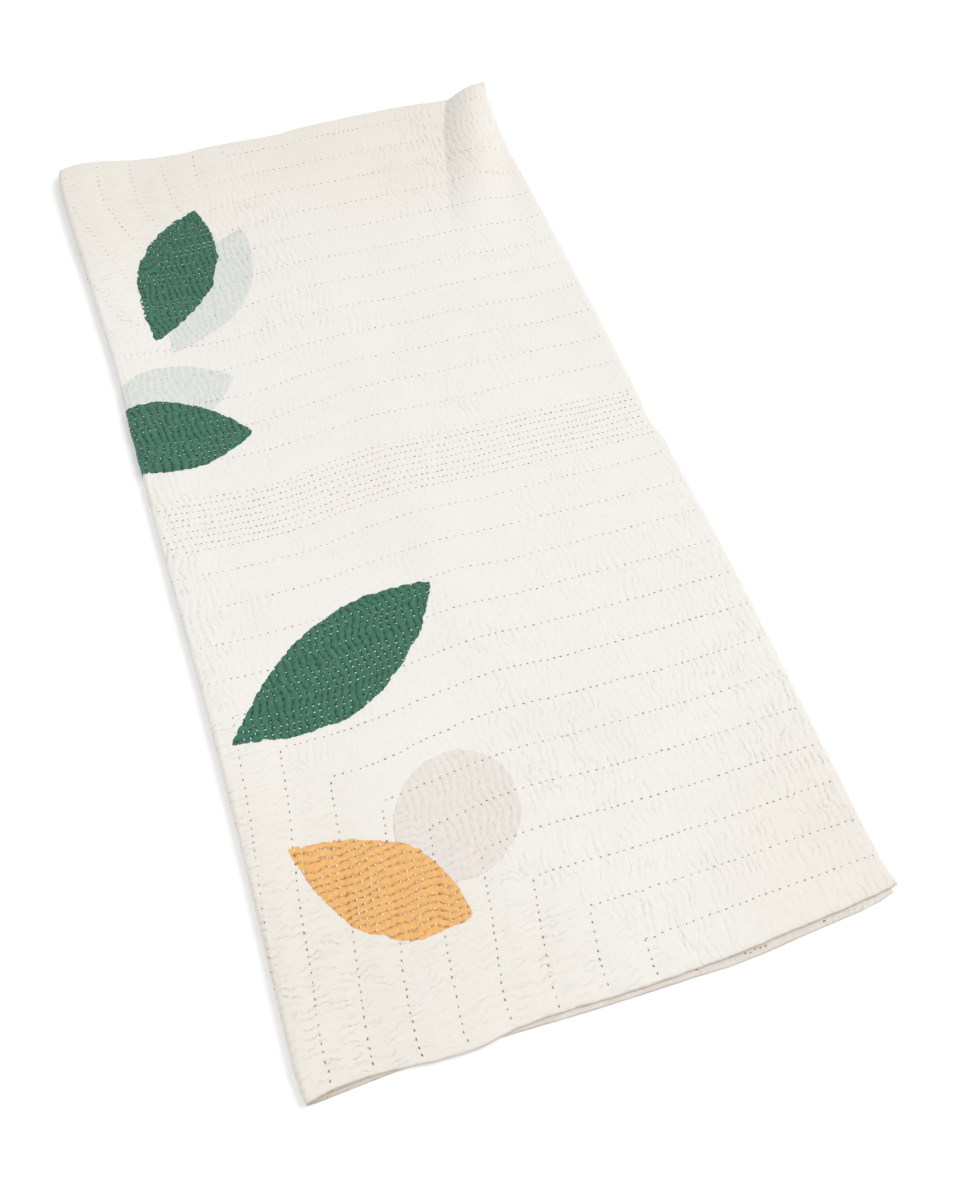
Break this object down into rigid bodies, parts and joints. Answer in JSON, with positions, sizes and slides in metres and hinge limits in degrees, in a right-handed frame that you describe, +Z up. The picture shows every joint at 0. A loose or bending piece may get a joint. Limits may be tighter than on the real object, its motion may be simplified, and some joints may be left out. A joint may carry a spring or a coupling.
{
  "type": "folded kantha quilt",
  "caption": "Thin square quilt folded once along its length and lying flat, with a soft round fold, uneven open edges, a lifted corner and rows of quilting.",
  "frame": {"origin": "on the surface that the quilt lies on, under the middle of the box round it", "axes": "+Z up, +Y lengthwise from the near end to the far end, +X from the fold to the open edges"},
  "size_m": [0.6468, 1.2854, 0.0258],
  "materials": {
    "quilt_cotton": "matt undyed cotton, quilted"
  },
  "bodies": {
    "root": {"quilt": "quilt_cotton"}
  },
  "joints": []
}
